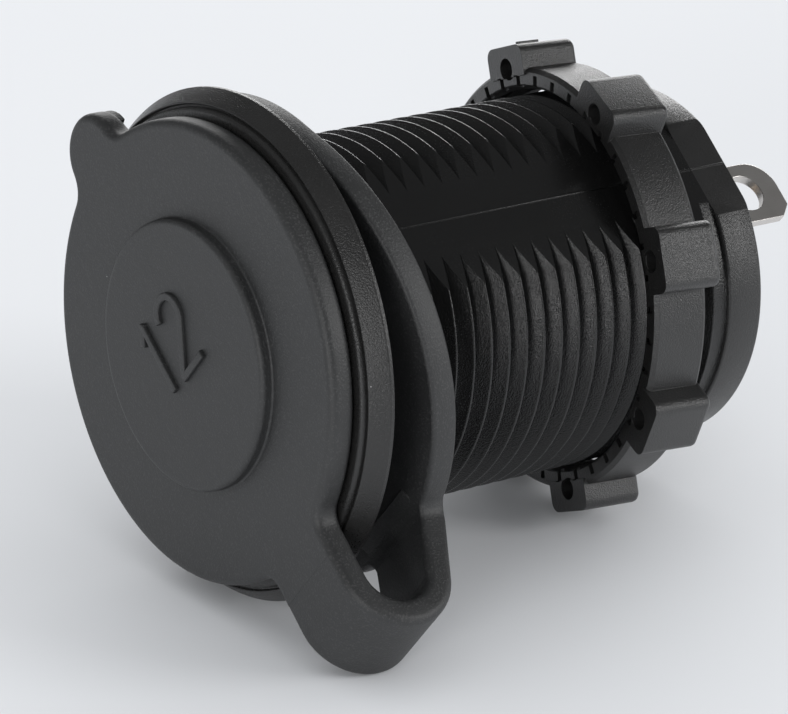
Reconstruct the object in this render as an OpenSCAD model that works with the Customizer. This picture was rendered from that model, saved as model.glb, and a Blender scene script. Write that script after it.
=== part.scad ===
// Panel socket for a 12 volt plug: a threaded body held from behind by a ring
// nut, and a soft cap on a strap that a retaining ring keeps behind the flange.
// The plug axis runs along Y. The origin is the centre of the flange's back
// face, +Y points to the terminals and +Z to the cap's pull tab.

/* [Socket bore] */
// Inner diameter of the contact sleeve
bore_d = 21; // [20.6:0.1:21.6]
// Sheet thickness of the contact sleeve
sleeve_wall = 0.6; // [0.4:0.1:0.8]
// Widening of the sleeve's mouth, on the radius
mouth_flare = 0.25; // [0.15:0.05:0.4]
// Depth of the widened mouth behind the flange's back face
mouth_depth = 4; // [3.6:0.1:6]
// Width of the sleeve's turned-out lip
lip_w = 1.3; // [0.8:0.1:2]
// Inner radius of the sleeve's bottom corner
sleeve_corner = 2.5; // [2.3:0.1:3.5]

/* [Body] */
// Outer diameter over the thread's crests
thread_d = 28.5; // [28.3:0.1:30]
// Depth of the thread
thread_depth = 0.9; // [0.5:0.05:1]
// Distance from one thread turn to the next
thread_pitch = 1.63; // [1.2:0.01:2.4]
// Width of the thread's crest
crest_land = 0.14; // [0.05:0.01:0.3]
// Length of the plain neck between the flange and the thread
neck_len = 2.2; // [1.6:0.1:4]
// Width across the two flats of the barrel
flats_w = 26.1; // [25.9:0.1:26.5]
// Length from the flange's back face to the rear end
barrel_len = 39; // [36:0.5:46]
// Thickness of the closed rear end
floor_t = 4; // [3.4:0.1:5]
// Diameter of the plain collar at the rear end
collar_d = 27.4; // [26.8:0.1:28.4]
// Length of the rear collar
collar_len = 3.3; // [2:0.1:4]
// Gap between the last thread turn and the collar
relief_len = 0.85; // [0.6:0.05:1.6]
// Bevel on the collar's edges
collar_bevel = 0.3; // [0.1:0.05:0.5]

/* [Flange] */
// Diameter of the flange at its back face
flange_d = 38.4; // [37:0.1:41]
// Thickness of the flange
flange_t = 2; // [1.8:0.1:3]
// How much the flange's edge narrows to the front, on the radius
flange_taper = 1; // [0.4:0.1:1.4]
// Height of the bead round the front face
bead_h = 0.35; // [0.2:0.05:0.5]
// How far the bead stands in from the flange's edge
bead_step = 0.25; // [0.15:0.05:0.4]

/* [Cap] */
// Diameter of the cap's disc
cap_d = 34.7; // [33:0.1:35.4]
// Thickness of the cap's disc
cap_t = 2.1; // [1.8:0.1:2.6]
// Gap between the closed cap and the flange
cap_gap = 0.1; // [0.05:0.05:0.3]
// Rounding of the rubber's edges
soft_edge = 0.65; // [0.3:0.05:0.85]
// Diameter of the raised boss on the front
boss_d = 20.3; // [18:0.1:24]
// Height of the raised boss
boss_h = 0.95; // [0.5:0.05:1.4]
// Width of the pull tab
tab_w = 6.7; // [5:0.1:9]
// How far the pull tab stands out from the disc
tab_reach = 3.6; // [2.5:0.1:6]
// Radius of the tab's root fillets
tab_fillet = 2; // [1:0.1:3]
// Depth of the hollow plug behind the disc
plug_depth = 5.5; // [4:0.1:5.6]
// Wall of the hollow plug
plug_wall = 1.4; // [1:0.1:2]
// Clearance of the plug in the sleeve's mouth, on the radius
plug_play = 0.2; // [0.1:0.05:0.4]

/* [Strap] */
// Width of the strap
strap_w = 8; // [6:0.1:10]
// Thickness of the strap
strap_t = 2.1; // [1.8:0.1:2.4]
// Distance from the disc's edge to the hinge line
hinge_drop = 3.65; // [3:0.05:5]
// Opening between the strap's end faces at the hinge line
hinge_gap = 0.1; // [0.05:0.05:0.2]
// Outer radius of the strap's bend
bend_r = 4.6; // [4:0.1:5.4]
// Straight length between the hinge line and the bend
bend_lead = 1; // [0.5:0.1:2]
// Angle by which the rear arm leans to the rear
arm_lean = 22; // [18:1:28]
// Radius of the bend where the arm meets the ring
arm_bend_r = 3; // [2:0.1:4]
// Radius of the strap's root fillets
strap_fillet = 1.5; // [0.8:0.1:2.5]

/* [Retaining ring] */
// Outer diameter of the retaining ring
ring_d = 37; // [36:0.1:38]
// Thickness of the retaining ring
ring_t = 2.15; // [2.1:0.05:2.6]
// Clearance of the ring's hole round the thread, on the radius
ring_play = 0.2; // [0.15:0.05:0.5]
// Height above the axis at which the ring folds back
fold_z = 7; // [4:0.5:9]
// Angle by which the lower part is folded back
fold_angle = 10.5; // [8:0.5:12]
// Radius of the fold
fold_r = 12; // [8:1:20]

/* [Ring nut] */
// Radial clearance between the nut and the thread's crests
nut_play = 0.65; // [0.5:0.05:1]
// Wall of the nut between its lugs
nut_wall = 1.35; // [1.1:0.05:1.8]
// Length of the nut along its axis
nut_len = 4.6; // [4:0.1:6]
// Number of grip lugs
lug_count = 8; // [6:1:10]
// Radius to the outside of the lugs
lug_r = 18; // [17.8:0.1:19]
// Width of a lug
lug_w = 5; // [4:0.1:6]
// How much longer a lug is than the nut's wall
lug_extra = 0.4; // [0.2:0.1:0.8]
// Rounding of the lugs' edges
lug_edge = 0.7; // [0.3:0.1:0.9]
// Diameter of the hole through each lug
lug_hole_d = 1.7; // [1:0.1:2]
// Angle of the first lug from the top
lug_start = 28.2; // [0:0.1:45]
// Distance from the nut's rear face to the body's rear end
nut_back = 6; // [5.4:0.1:16]
// Lean of the loose nut to the rear at its top
nut_lean = 5.3; // [0:0.1:5.5]
// Lean of the loose nut to the side
nut_side_lean = 3.27; // [0:0.01:3.5]
// Number of grip notches in the nut's front edge for each lug
notches_per_lug = 5; // [3:1:8]
// Width of the notches
notch_w = 0.5; // [0.3:0.05:0.8]
// Depth of the notches
notch_depth = 0.4; // [0.2:0.05:0.8]

/* [Contacts] */
// Diameter of the centre contact's head
contact_d = 6; // [5:0.1:6.2]
// Height of the centre contact's head
contact_h = 1.4; // [1:0.1:1.6]
// Diameter of the centre contact's shank
shank_d = 3; // [2.4:0.1:3.4]
// Diameter of the insulator's flange
insulator_d = 7; // [6.4:0.1:7.2]
// Thickness of the insulator's flange
insulator_t = 0.8; // [0.5:0.1:1]
// Wall of the insulator's bush
bush_wall = 1; // [0.6:0.1:1.2]
// How far the bush reaches into the body's floor
bush_seat = 0.6; // [0.3:0.1:1]
// Outer diameter of the washer under the centre contact's tail
washer_d = 5.2; // [4.8:0.1:6]
// Thickness of that washer
washer_t = 0.5; // [0.3:0.1:0.8]
// Diameter of the centre contact's spread tail
tail_d = 4.4; // [4.2:0.1:4.6]
// Height of the centre contact's spread tail
tail_h = 0.8; // [0.5:0.1:1.2]
// Push-fit clearance between seated pieces, on the radius
fit = 0.05; // [0.03:0.01:0.08]

/* [Terminals] */
// Distance from the axis to the middle of each terminal's sheet
terminal_x = 7; // [6.8:0.1:7.6]
// Sheet thickness of the terminals
terminal_t = 0.8; // [0.6:0.1:0.8]
// Width of the terminals
terminal_w = 5.2; // [4.8:0.1:6.3]
// How far the terminals stand out behind the body
terminal_reach = 8.9; // [7:0.1:12]
// Diameter of the hole near the terminal's end
eyelet_d = 3.1; // [2.4:0.1:3.4]
// Distance from the eyelet's centre to the terminal's end
eyelet_inset = 3.3; // [2.8:0.1:4]
// Radius of the terminal's round corner
tip_round = 2.4; // [1:0.1:2.4]
// Bevel of the terminal's other corner
tip_bevel = 0.95; // [0.4:0.05:1.4]
// Distance from the axis to the ground rivet
rivet_x = 5; // [4.9:0.05:5.2]
// Shank diameter of the ground rivet
rivet_d = 1.6; // [1.2:0.1:2]
// Head diameter of the ground rivet
rivet_head_d = 2.6; // [2.2:0.1:2.8]
// Head height of the ground rivet
rivet_head_h = 0.5; // [0.3:0.1:0.6]

/* [Hidden] */
$fn = 64;
eps = 0.01;
far = 60;
fold_steps = 6;

rubber_color = [0.10, 0.10, 0.11];
nylon_color = [0.06, 0.06, 0.065];
nut_color = [0.08, 0.08, 0.085];
metal_color = [0.78, 0.74, 0.68];
contact_color = [0.80, 0.66, 0.36];
insulator_color = [0.88, 0.86, 0.80];

// The sleeve and its seat in the body, from the bore outwards
bore_r = bore_d / 2;
sleeve_r = bore_r + sleeve_wall;
mouth_r = bore_r + mouth_flare;
mouth_outer_r = mouth_r + sleeve_wall;
lip_r = mouth_outer_r + lip_w;
front_y = -flange_t;
mouth_y = mouth_depth;
flare_len = mouth_flare * 2;
floor_y = barrel_len - floor_t;
sleeve_floor_y = floor_y - sleeve_wall;

// The barrel
crest_r = thread_d / 2;
root_r = crest_r - thread_depth;
collar_r = collar_d / 2;
collar_y = barrel_len - collar_len;
thread_end = collar_y - relief_len;
turns = floor((thread_end - neck_len) / thread_pitch);
flange_r = flange_d / 2;
bead_r = flange_r - flange_taper - bead_step;

// The cap, the hinge line and the strap
cap_r = cap_d / 2;
cap_back_y = front_y - cap_gap;
cap_front_y = cap_back_y - cap_t;
hinge_z = -(cap_r + hinge_drop);
tab_end_z = cap_r + tab_reach - tab_w / 2;
plug_tip_y = cap_back_y + plug_depth;
plug_root_r = mouth_r - plug_play;
// The plug's tip passes the sleeve's mouth when the cap swings about the hinge
swing_r2 = pow(mouth_r - hinge_z, 2) + pow(front_y - cap_front_y, 2);
plug_tip_r = sqrt(swing_r2 - pow(plug_tip_y - cap_front_y, 2)) + hinge_z - plug_play;

strap_mid_r = bend_r - strap_t / 2;
bend_c = [cap_front_y + bend_r, hinge_z - bend_lead];
bend_end = bend_c + strap_mid_r * [cos(arm_lean), -sin(arm_lean)];

// The retaining ring's middle surface: upright, a fold, then a straight lean
ring_r = ring_d / 2;
ring_hole_r = crest_r + ring_play;
fold_c = [ring_t / 2 + fold_r, fold_z + fold_r * tan(fold_angle / 2)];
lean_dir = [-sin(fold_angle), cos(fold_angle)];
arm_dir = [sin(arm_lean), cos(arm_lean)];
// Length of the rear arm to the point where it meets the ring's middle surface
arm_len = (ring_t / 2 + (fold_z - bend_end[1]) * tan(fold_angle) - bend_end[0])
    / (sin(arm_lean) + cos(arm_lean) * tan(fold_angle));
arm_tangent = arm_bend_r * tan((arm_lean + fold_angle) / 2);
arm_end = bend_end + (arm_len - arm_tangent) * arm_dir;
arm_bend_c = arm_end + arm_bend_r * [-cos(arm_lean), sin(arm_lean)];
ring_joint = arm_bend_c + arm_bend_r * [cos(fold_angle), sin(fold_angle)];

// The ring nut
nut_bore_r = crest_r + nut_play;
nut_r = nut_bore_r + nut_wall;
nut_y = barrel_len - nut_back - nut_len;
lug_hole_r = lug_hole_d / 2;
notch_count = lug_count * notches_per_lug;

// The stack of contacts along the axis
insulator_y = sleeve_floor_y - insulator_t;
contact_y = insulator_y - contact_h;
bush_r = shank_d / 2 + fit + bush_wall;
positive_foot_y = barrel_len - terminal_t;
washer_y = barrel_len;
tail_y = washer_y + washer_t;
terminal_end_y = barrel_len + terminal_reach;
foot_reach = shank_d / 2 + fit + 1.2;
ground_foot_x = rivet_x - rivet_head_d / 2 - 0.2;

// Turns a shape drawn in radius and height so that its axis runs along Y
module along_y() {
    rotate([-90, 0, 0]) children();
}

// A round bar of radius r from one place along Y to another
module rod(r, from, to) {
    translate([0, from, 0]) along_y() cylinder(r = r, h = to - from);
}

// Turns a side view drawn in Y and Z into the model's frame, thickness along X
module side_view() {
    rotate([90, 0, 90]) children();
}

// A rectangle w by h about the origin with its corners rounded to r
module rounded_rect(w, h, r) {
    square([w - 2 * r, h], center = true);
    square([w, h - 2 * r], center = true);
    for (sx = [-1, 1], sy = [-1, 1])
        translate([sx * (w / 2 - r), sy * (h / 2 - r)]) circle(r = r);
}

// A disc about the Y axis with both edges rounded
module soft_disc(r, t, edge) {
    along_y() rotate_extrude() {
        square([r - edge, t]);
        translate([0, edge]) square([r, t - 2 * edge]);
        for (y = [edge, t - edge]) translate([r - edge, y]) circle(r = edge);
    }
}

// A straight stretch of soft bar standing on its end, w along X and t along Y
module soft_bar(w, t, len, edge) {
    linear_extrude(len) rounded_rect(w, t, edge);
}

// The two fillets between a disc of radius r and a bar that leaves it upwards
module root_fillets(r, half_w, f, t) {
    c = [half_w + f, sqrt(pow(r + f, 2) - pow(half_w + f, 2))];
    on_disc = c * r / (r + f);
    inner = half_w * 0.6;
    for (s = [0, 1]) mirror([s, 0, 0])
        rotate([90, 0, 0]) linear_extrude(t, center = true) difference() {
            polygon([[inner, c[1]], [half_w, c[1]], c, on_disc, on_disc * 0.94,
                     [inner, on_disc[1] * 0.94]]);
            translate(c) circle(r = f);
        }
}

// The body's outline in radius and place along the axis, with the thread's turns
function thread_points() = [
    for (k = [0 : turns - 1], p = [0 : 2])
        let (y = neck_len + k * thread_pitch)
            p == 0 ? [root_r, y]
            : p == 1 ? [crest_r, y + (thread_pitch - crest_land) / 2]
            : [crest_r, y + (thread_pitch + crest_land) / 2]
];

module body_outline() {
    polygon(concat(
        [[0, front_y], [bead_r - bead_h / 3, front_y], [bead_r, front_y + bead_h / 3],
         [bead_r, front_y + bead_h], [bead_r + bead_step, front_y + bead_h],
         [flange_r, -0.25], [flange_r, 0], [root_r, 0]],
        thread_points(),
        [[root_r, neck_len + turns * thread_pitch], [root_r, collar_y],
         [collar_r - collar_bevel, collar_y], [collar_r, collar_y + collar_bevel],
         [collar_r, barrel_len - collar_bevel], [collar_r - collar_bevel, barrel_len],
         [0, barrel_len]]));
}

// The bore that takes the sleeve, with the seat of its lip
module sleeve_seat() {
    rod(sleeve_r + fit, front_y - eps, floor_y);
    rod(mouth_outer_r + fit, front_y - eps, mouth_y + flare_len);
    rod(lip_r + fit, front_y - eps, front_y + sleeve_wall);
}

// Holes and pockets in the closed rear end
module floor_cuts() {
    rod(shank_d / 2 + fit, floor_y - eps, barrel_len + eps);
    rod(bush_r + fit, floor_y - eps, floor_y + bush_seat);
    // Slot and pocket of the ground terminal
    translate([terminal_x - terminal_t / 2 - fit, floor_y - eps, -terminal_w / 2 - fit])
        cube([terminal_t + 2 * fit, floor_t + 2 * eps, terminal_w + 2 * fit]);
    translate([ground_foot_x - fit, floor_y - eps, -terminal_w / 2 - fit])
        cube([terminal_x - ground_foot_x, terminal_t + eps, terminal_w + 2 * fit]);
    translate([rivet_x, 0, 0])
        rod(rivet_head_d / 2 + fit, floor_y, floor_y + terminal_t + rivet_head_h + fit);
    // Pocket of the positive terminal's foot
    translate([-terminal_x - terminal_t / 2 - fit, positive_foot_y, -terminal_w / 2 - fit])
        cube([terminal_x + terminal_t / 2 + foot_reach + 2 * fit, terminal_t + eps,
              terminal_w + 2 * fit]);
}

module socket_body() {
    color(nylon_color) difference() {
        along_y() rotate_extrude() body_outline();
        for (s = [-1, 1]) translate([s * (flats_w + far) / 2, far / 2, 0])
            cube([far, far, far], center = true);
        sleeve_seat();
        floor_cuts();
    }
}

module ground_sleeve() {
    color(metal_color) difference() {
        union() {
            along_y() rotate_extrude() {
                polygon([[0, front_y], [mouth_outer_r, front_y], [mouth_outer_r, mouth_y],
                         [sleeve_r, mouth_y + flare_len],
                         [sleeve_r, floor_y - sleeve_corner - sleeve_wall],
                         [sleeve_r - sleeve_corner - sleeve_wall, floor_y], [0, floor_y]]);
                translate([sleeve_r - sleeve_corner - sleeve_wall,
                           floor_y - sleeve_corner - sleeve_wall])
                    circle(r = sleeve_corner + sleeve_wall);
            }
            rod(lip_r, front_y, front_y + sleeve_wall);
        }
        along_y() rotate_extrude() {
            polygon([[0, front_y - 1], [mouth_r, front_y - 1], [mouth_r, mouth_y],
                     [bore_r, mouth_y + flare_len], [bore_r, sleeve_floor_y - sleeve_corner],
                     [bore_r - sleeve_corner, sleeve_floor_y], [0, sleeve_floor_y]]);
            translate([bore_r - sleeve_corner, sleeve_floor_y - sleeve_corner])
                circle(r = sleeve_corner);
        }
        rod(bush_r + fit, sleeve_floor_y - eps, floor_y + eps);
        translate([rivet_x, 0, 0]) rod(rivet_d / 2 + fit, sleeve_floor_y - eps, floor_y + eps);
    }
}

module contact_insulator() {
    color(insulator_color) difference() {
        union() {
            rod(insulator_d / 2, insulator_y, sleeve_floor_y);
            rod(bush_r, sleeve_floor_y - eps, floor_y + bush_seat);
        }
        rod(shank_d / 2 + fit, insulator_y - eps, floor_y + bush_seat + eps);
    }
}

// A rivet: a rounded head inside the socket, a shank and a spread tail
module centre_contact() {
    dome_r = (pow(contact_d / 2, 2) + pow(contact_h / 2, 2)) / contact_h;
    color(contact_color) {
        intersection() {
            translate([0, contact_y + dome_r, 0]) sphere(r = dome_r);
            rod(contact_d / 2, contact_y, insulator_y);
        }
        rod(shank_d / 2, insulator_y - eps, tail_y + eps);
        translate([0, tail_y, 0]) along_y()
            cylinder(r1 = tail_d / 2, r2 = tail_d / 2 - tail_h * 0.6, h = tail_h);
    }
}

module tail_washer() {
    color(metal_color) difference() {
        rod(washer_d / 2, washer_y, tail_y);
        rod(shank_d / 2 + fit, washer_y - eps, tail_y + eps);
    }
}

// A terminal's upright tab as a side view in Y and Z, from one place along Y
module tab_outline(from) {
    half = terminal_w / 2;
    difference() {
        union() {
            polygon([[from, -half], [terminal_end_y - tip_bevel, -half],
                     [terminal_end_y, tip_bevel - half], [terminal_end_y, half - tip_round],
                     [terminal_end_y - tip_round, half], [from, half]]);
            translate([terminal_end_y - tip_round, half - tip_round]) circle(r = tip_round);
        }
        translate([terminal_end_y - eyelet_inset, 0]) circle(r = eyelet_d / 2);
    }
}

// The tab of either terminal in its own plane
module terminal_tab(x, from) {
    translate([x, 0, 0]) side_view() linear_extrude(terminal_t, center = true)
        tab_outline(from);
}

module positive_terminal() {
    left = -terminal_x - terminal_t / 2;
    color(metal_color) difference() {
        union() {
            terminal_tab(-terminal_x, positive_foot_y);
            translate([left, positive_foot_y, -terminal_w / 2])
                cube([foot_reach - left, terminal_t, terminal_w]);
        }
        rod(shank_d / 2 + fit, positive_foot_y - eps, barrel_len + eps);
    }
}

module ground_terminal() {
    color(metal_color) difference() {
        union() {
            terminal_tab(terminal_x, floor_y);
            translate([ground_foot_x, floor_y, -terminal_w / 2])
                cube([terminal_x - ground_foot_x, terminal_t, terminal_w]);
        }
        translate([rivet_x, 0, 0]) rod(rivet_d / 2 + fit, floor_y - eps, floor_y + terminal_t + eps);
    }
}

// The rivet that clamps the ground terminal's foot under the sleeve's floor
module ground_rivet() {
    tail = floor_y + terminal_t;
    color(metal_color) translate([rivet_x, 0, 0]) {
        rod(rivet_head_d / 2, sleeve_floor_y - rivet_head_h, sleeve_floor_y);
        rod(rivet_d / 2, sleeve_floor_y - eps, tail + eps);
        rod(rivet_head_d / 2, tail, tail + rivet_head_h);
    }
}

// The soft cap: disc, boss, pull tab, hollow plug and the strap's front arm
module cap() {
    color(rubber_color) {
        translate([0, cap_front_y, 0]) soft_disc(cap_r, cap_t, soft_edge);
        translate([0, cap_front_y - boss_h, 0])
            soft_disc(boss_d / 2, boss_h + soft_edge, boss_h / 2);
        translate([0, cap_front_y, tab_end_z]) soft_disc(tab_w / 2, cap_t, soft_edge);
        translate([0, cap_front_y + cap_t / 2, 0]) {
            translate([0, 0, cap_r * 0.8])
                soft_bar(tab_w, cap_t, tab_end_z - cap_r * 0.8, soft_edge);
            root_fillets(cap_r, tab_w / 2, tab_fillet, cap_t - soft_edge);
            mirror([0, 0, 1]) root_fillets(cap_r, strap_w / 2, strap_fillet, cap_t - soft_edge);
        }
        translate([0, cap_front_y + strap_t / 2, hinge_z + hinge_gap / 2])
            soft_bar(strap_w, strap_t, hinge_drop + cap_r * 0.2, soft_edge);
        plug();
    }
}

module plug() {
    difference() {
        translate([0, cap_back_y - eps, 0]) along_y()
            cylinder(r1 = plug_root_r, r2 = plug_tip_r, h = plug_depth + eps);
        translate([0, cap_back_y - eps, 0]) along_y()
            cylinder(r1 = plug_root_r - plug_wall, r2 = plug_tip_r - plug_wall,
                     h = plug_depth + 3 * eps);
    }
}

// The strap's section, thickness first, as the bends and straights sweep it
module strap_section() {
    rounded_rect(strap_t, strap_w, soft_edge);
}

// A straight stretch of strap in the side view, from a point along an angle
module strap_run(from, angle, len) {
    translate([from[0], from[1], 0]) rotate([0, 0, angle])
        rotate([90, 0, 90]) linear_extrude(len) strap_section();
}

// A bend of the strap in the side view, about a centre, from one angle
module strap_bend(centre, r, from, sweep) {
    translate([centre[0], centre[1], 0]) rotate([0, 0, from])
        rotate_extrude(angle = sweep) translate([r, 0]) strap_section();
}

// One side of the ring's sheet round the fold, at a radius from the fold's centre
function fold_side(r) = [
    for (k = [0 : fold_steps])
        let (a = k * fold_angle / fold_steps)
            fold_c - r * [cos(a), sin(a)]
];

// The ring's folded sheet in the side view, wider than the ring itself
module folded_sheet() {
    front = fold_side(fold_r + ring_t / 2);
    back = fold_side(fold_r - ring_t / 2);
    polygon(concat(
        [[0, far / 2]], front, [front[fold_steps] - far / 2 * lean_dir],
        [back[fold_steps] - far / 2 * lean_dir],
        [for (k = [fold_steps : -1 : 0]) back[k]], [[ring_t, far / 2]]));
}

module retaining_ring() {
    sink = (ring_r - ring_hole_r) * 0.6;
    color(rubber_color) {
        difference() {
            intersection() {
                side_view() linear_extrude(far, center = true) folded_sheet();
                rod(ring_r, -1, far / 2);
            }
            rod(ring_hole_r, -2, far);
        }
        side_view() {
            strap_run([cap_front_y + strap_t / 2, hinge_z - hinge_gap / 2], -90,
                      bend_lead - hinge_gap / 2);
            strap_bend(bend_c, strap_mid_r, 180, 180 - arm_lean);
            strap_run(bend_end, 90 - arm_lean, arm_len - arm_tangent);
            strap_bend(arm_bend_c, arm_bend_r, -arm_lean, arm_lean + fold_angle);
            strap_run(ring_joint, 90 + fold_angle, sink);
        }
    }
}

// One grip lug standing on the nut's wall, in the nut's own frame
module lug() {
    depth = lug_r - nut_r + nut_wall / 2;
    len = nut_len + lug_extra;
    translate([0, -lug_extra / 2, lug_r - depth / 2]) rotate([-90, 0, 0])
        linear_extrude(len) rounded_rect(lug_w, depth, lug_edge);
}

// One grip notch, open to the nut's bore and to its front
module grip_notch() {
    front = lug_extra / 2 + eps;
    translate([-notch_w / 2, -front, nut_bore_r - 1])
        cube([notch_w, notch_depth + front, 1 + nut_wall * 0.6]);
}

module ring_nut() {
    bevel = 0.35;
    hole_circle = nut_r;
    lug_len = nut_len + lug_extra;
    color(nut_color)
    translate([0, nut_y + nut_len / 2, 0]) rotate([-nut_lean, 0, -nut_side_lean])
    translate([0, -nut_len / 2, 0]) difference() {
        union() {
            along_y() rotate_extrude()
                polygon([[nut_bore_r, 0], [nut_r - bevel, 0], [nut_r, bevel],
                         [nut_r, nut_len - bevel], [nut_r - bevel, nut_len],
                         [nut_bore_r, nut_len]]);
            for (k = [0 : lug_count - 1])
                rotate([0, lug_start + k * 360 / lug_count, 0]) lug();
        }
        rod(nut_bore_r, -far / 2, far / 2);
        for (k = [0 : lug_count - 1])
            rotate([0, lug_start + k * 360 / lug_count, 0]) translate([0, 0, hole_circle])
                rod(lug_hole_r, -lug_len, 2 * lug_len);
        for (k = [0 : notch_count - 1])
            rotate([0, lug_start + (k + 0.5) * 360 / notch_count, 0]) grip_notch();
    }
}

socket_body();
ring_nut();
cap();
retaining_ring();
ground_sleeve();
contact_insulator();
centre_contact();
tail_washer();
positive_terminal();
ground_terminal();
ground_rivet();
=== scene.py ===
import math

import bmesh
import bpy
from mathutils import Matrix, Vector, noise


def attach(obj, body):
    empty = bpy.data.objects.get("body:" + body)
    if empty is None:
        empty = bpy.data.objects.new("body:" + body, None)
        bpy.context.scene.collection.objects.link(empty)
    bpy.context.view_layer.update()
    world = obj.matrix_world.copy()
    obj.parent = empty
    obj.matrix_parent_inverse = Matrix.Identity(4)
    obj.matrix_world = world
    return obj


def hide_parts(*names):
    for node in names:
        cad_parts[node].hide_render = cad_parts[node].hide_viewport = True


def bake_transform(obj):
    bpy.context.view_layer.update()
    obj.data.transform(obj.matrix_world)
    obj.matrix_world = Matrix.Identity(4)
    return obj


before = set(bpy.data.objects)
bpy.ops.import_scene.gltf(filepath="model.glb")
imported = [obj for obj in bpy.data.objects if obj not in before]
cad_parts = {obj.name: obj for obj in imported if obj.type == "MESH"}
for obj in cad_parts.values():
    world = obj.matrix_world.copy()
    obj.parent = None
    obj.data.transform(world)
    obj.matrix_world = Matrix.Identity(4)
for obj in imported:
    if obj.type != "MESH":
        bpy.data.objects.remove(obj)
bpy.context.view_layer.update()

MM = 0.001
TURN = 2 * math.pi
ROUND_STEPS = 160
MERGE = 1e-4

# Cap, as one soft moulding with the strap and the retaining ring
CAP_R = 17.35
CAP_FRONT = -4.2
CAP_BACK = -2.1
CAP_EDGE = 0.65
BOSS_R = 10.15
BOSS_FRONT = -5.13
BOSS_EDGE = 0.4
BOSS_FOOT = 0.15
BOSS_SUNK = 0.5
DIGIT_W = 0.6
DIGIT_H = 0.34
DIGIT_STEP = 0.01
DIGIT_SUNK = 0.2
TAB_R = 3.35
TAB_Z = 17.6
TAB_FILLET = 2.0
FLASH_LIFT = 0.22
FLASH_STEPS = 42
FLASH_START = 18
FLASH_SPAN = 80
PLUG_ROOT_R = 10.55
PLUG_TIP_R = 9.705
PLUG_WALL = 1.4
PLUG_END = 3.4
PLUG_SUNK = 0.3

# Strap
STRAP_W = 8.0
STRAP_T = 2.1
STRAP_FILLET = 1.5
HINGE_Z = -21.0
STUB_END = -19.7
STUB_OVERLAP = 0.6
BEND_R = 4.6
BEND_LEAD = 1.0
ARM_LEAN = math.radians(22)
ARM_BEND_R = 3.0
ARM_TAIL = 1.6
ARM_SPLIT = 0.45
STRAP_INSET = 0.012

# Retaining ring
RING_R = 18.5
RING_HOLE_R = 14.45
RING_T = 2.15
RING_EDGE = 0.3
RING_FILLET = 1.2
RING_CHAMFER = 0.15
RING_ROW = 0.5
FOLD_Z = 7.0
FOLD = math.radians(10.5)
FOLD_R = 12.0

# Body
THREAD_R = 14.25
THREAD_DEPTH = 0.9
THREAD_PITCH = 1.63
THREAD_START = 2.2
THREAD_TURNS = 19
THREAD_SUNK = 0.18
# How far each point of the round crest is below the thread's outside and to its side
CREST = ((0.1, 0.125), (0.03, 0.085), (0, 0.03))
TURN_STEPS = 144
ROOT_R = THREAD_R - THREAD_DEPTH
FLAT_X = 13.05
FLANGE_R = 19.2
FLANGE_FRONT = -2.0
BEAD_R = 17.9
BEAD_ROUND = 0.35
GROOVE_R = 18.05
GROOVE_DEPTH = 0.5
COLLAR_R = 13.7
COLLAR_START = 35.7
BODY_END = 39.0
BORE_R = 11.15
SEAT_R = 11.4
SEAT_END = 4.5
LIP_R = 12.7
LIP_DEPTH = 0.6
SLEEVE_FLOOR = 35
BUSH_R = 2.6
BUSH_SHOULDER = 35.6
RIVET_HOLE_R = 1.55
PARTING_W = 0.2
PARTING_H = 0.09

# Ring nut
NUT_MIDDLE = Vector((0, 30.7, 0))
NUT_LEAN = math.radians(5.3)
NUT_SIDE_LEAN = math.radians(3.27)
NUT_BORE_R = 14.9
NUT_R = 16.25
NUT_LEN = 4.6
NUT_STEPS = 128
NUT_EDGE = 0.3
NUT_REAR_EDGE = 0.35
NUT_SOFT = 0.12
BORE_CHAMFER = 0.1
RIDGE_HALF_W = 0.45
# Height of each ridge in the bore, by its turns behind the nut's middle
RIDGES = {1: 0.3, 0: 0.45, -1: 0.3}
LUG_COUNT = 8
LUG_START = math.radians(28.2)
LUG_R = 18.0
LUG_W = 5.0
LUG_DEPTH = 2.425
LUG_EXTRA = 0.4
LUG_HOLE_R = 0.85
LUG_ROUND = 0.8
LUG_REAR_ROUND = 0.45
FLAKE_H = 0.3
NOTCHES = 40
NOTCH_W = 0.5
NOTCH_DEPTH = 0.4
NOTCH_REACH = 0.81

# Terminals
TERMINAL_X = 7
TERMINAL_T = 0.8
TERMINAL_HALF_W = 2.6
TERMINAL_END = 47.9
TERMINAL_GAP = 0.05
POCKET_FLOOR = 38.2
FOOT_END = 2.75
EYE_R = 1.55
EYE_INSET = 3.3
CORNER_CUT = 0.95
CORNER_ROUND = 2.4
TERMINAL_SOFT = 0.06

# Where the photograph was taken from, and the surface that the part lies on
CAMERA_AT = Vector((288.643, -213.770, -144.115))
CAMERA_LOOK = Vector((-0.735230, 0.575804, 0.357611))
CAMERA_UP = Vector((0.537767, 0.174367, 0.824865))
CAMERA_LENS = 240.2
CAMERA_FRAME_W = 36
FLOOR_UP = Vector((0.790547, -0.050026, 0.610355))
FLOOR_LEVEL = -19.19
ROOM_LIGHT = 0.84
ROOM_MIRRORED = 0.14
BACKDROP = 0.84
ROOM_TINT = (0.97, 0.985, 1, 1)
FLOOR_TONE = (0.8, 0.81, 0.83, 1)
FLOOR_HALF = 1.2
LAMP_DISTANCE = 3
# Each lamp's degrees right of the camera, degrees above the floor, size in metres, brightness
LAMPS = {
    "left_window": (-23, 13, (1.05, 0.5), 13),
    "right_window": (80, 20, (1.25, 0.85), 8.2),
    "rear_window": (176, 13, (2.5, 1), 5),
}


def aim_axes(look, up):
    """Right, up and back axes, as a matrix's columns, of what looks along a line."""
    look = look.normalized()
    right = look.cross(up).normalized()
    return Matrix((right, right.cross(look), -look)).transposed()


CAMERA_AXES = aim_axes(CAMERA_LOOK, CAMERA_UP)


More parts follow.
